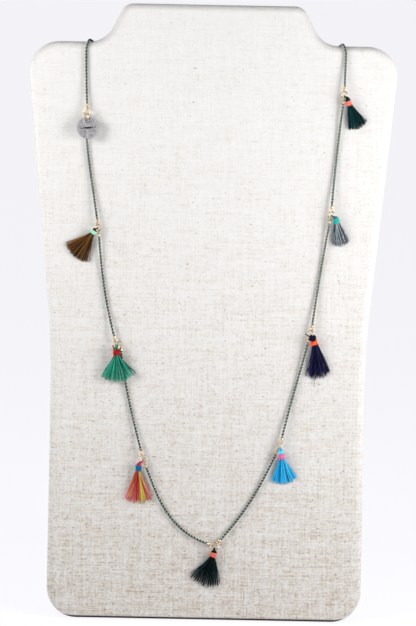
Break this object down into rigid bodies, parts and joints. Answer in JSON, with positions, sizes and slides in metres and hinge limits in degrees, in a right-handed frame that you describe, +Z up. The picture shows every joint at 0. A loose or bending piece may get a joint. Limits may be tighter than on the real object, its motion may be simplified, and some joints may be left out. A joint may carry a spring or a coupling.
{
  "type": "tassel necklace on a linen display stand",
  "caption": "Long chain necklace with small thread tassels and a hammered coin on jump rings, laid over a linen-covered display board that leans on an easel leg",
  "frame": {"origin": "middle of the footprint of the whole object, on the surface that it stands on", "axes": "+X to the right as one looks at the board's face, +Y from the face towards the easel leg, +Z up"},
  "size_m": [0.2212, 0.1167, 0.3619],
  "materials": {
    "linen": "matte",
    "linen_leg": "matte",
    "gold": "polished",
    "silver": "satin",
    "chain": "polished",
    "winding_thread": "matte",
    "brown_thread": "matte",
    "green_thread": "matte",
    "rainbow_thread": "matte",
    "pine_thread": "matte",
    "sky_thread": "matte",
    "navy_thread": "matte",
    "grey_thread": "matte",
    "forest_thread": "matte",
    "mint_thread": "matte",
    "red_thread": "matte",
    "blue_thread": "matte",
    "coral_thread": "matte",
    "pink_thread": "matte",
    "orange_thread": "matte",
    "turquoise_thread": "matte",
    "salmon_thread": "matte"
  },
  "bodies": {
    "root": {"display_board": "linen", "easel_leg": "linen_leg", "coin": "silver", "coin_ring": "gold", "chain_left_end": "chain", "chain_right_end": "chain", "chain_1": "chain", "chain_2": "chain", "chain_3": "chain", "chain_4": "chain", "chain_5": "chain", "chain_6": "chain", "chain_7": "chain", "chain_8": "chain", "ring_coin": "gold", "ring_brown": "gold", "ring_green": "gold", "ring_rainbow": "gold", "ring_pine": "gold", "ring_sky": "gold", "ring_navy": "gold", "ring_grey": "gold", "ring_forest": "gold", "crimp_coin_in": "gold", "crimp_brown_in": "gold", "crimp_green_in": "gold", "crimp_rainbow_in": "gold", "crimp_pine_in": "gold", "crimp_sky_in": "gold", "crimp_navy_in": "gold", "crimp_grey_in": "gold", "crimp_forest_in": "gold", "crimp_coin_out": "gold", "crimp_brown_out": "gold", "crimp_green_out": "gold", "crimp_rainbow_out": "gold", "crimp_pine_out": "gold", "crimp_sky_out": "gold", "crimp_navy_out": "gold", "crimp_grey_out": "gold", "crimp_forest_out": "gold", "tassel_brown": "brown_thread", "tassel_green": "green_thread", "tassel_rainbow": "rainbow_thread", "tassel_pine": "pine_thread", "tassel_sky": "sky_thread", "tassel_navy": "navy_thread", "tassel_grey": "grey_thread", "tassel_forest": "forest_thread", "binding_brown": "mint_thread", "binding_green": "red_thread", "binding_rainbow": "blue_thread", "binding_pine": "coral_thread", "binding_sky": "pink_thread", "binding_navy": "orange_thread", "binding_grey": "turquoise_thread", "binding_forest": "salmon_thread"}
  },
  "joints": []
}
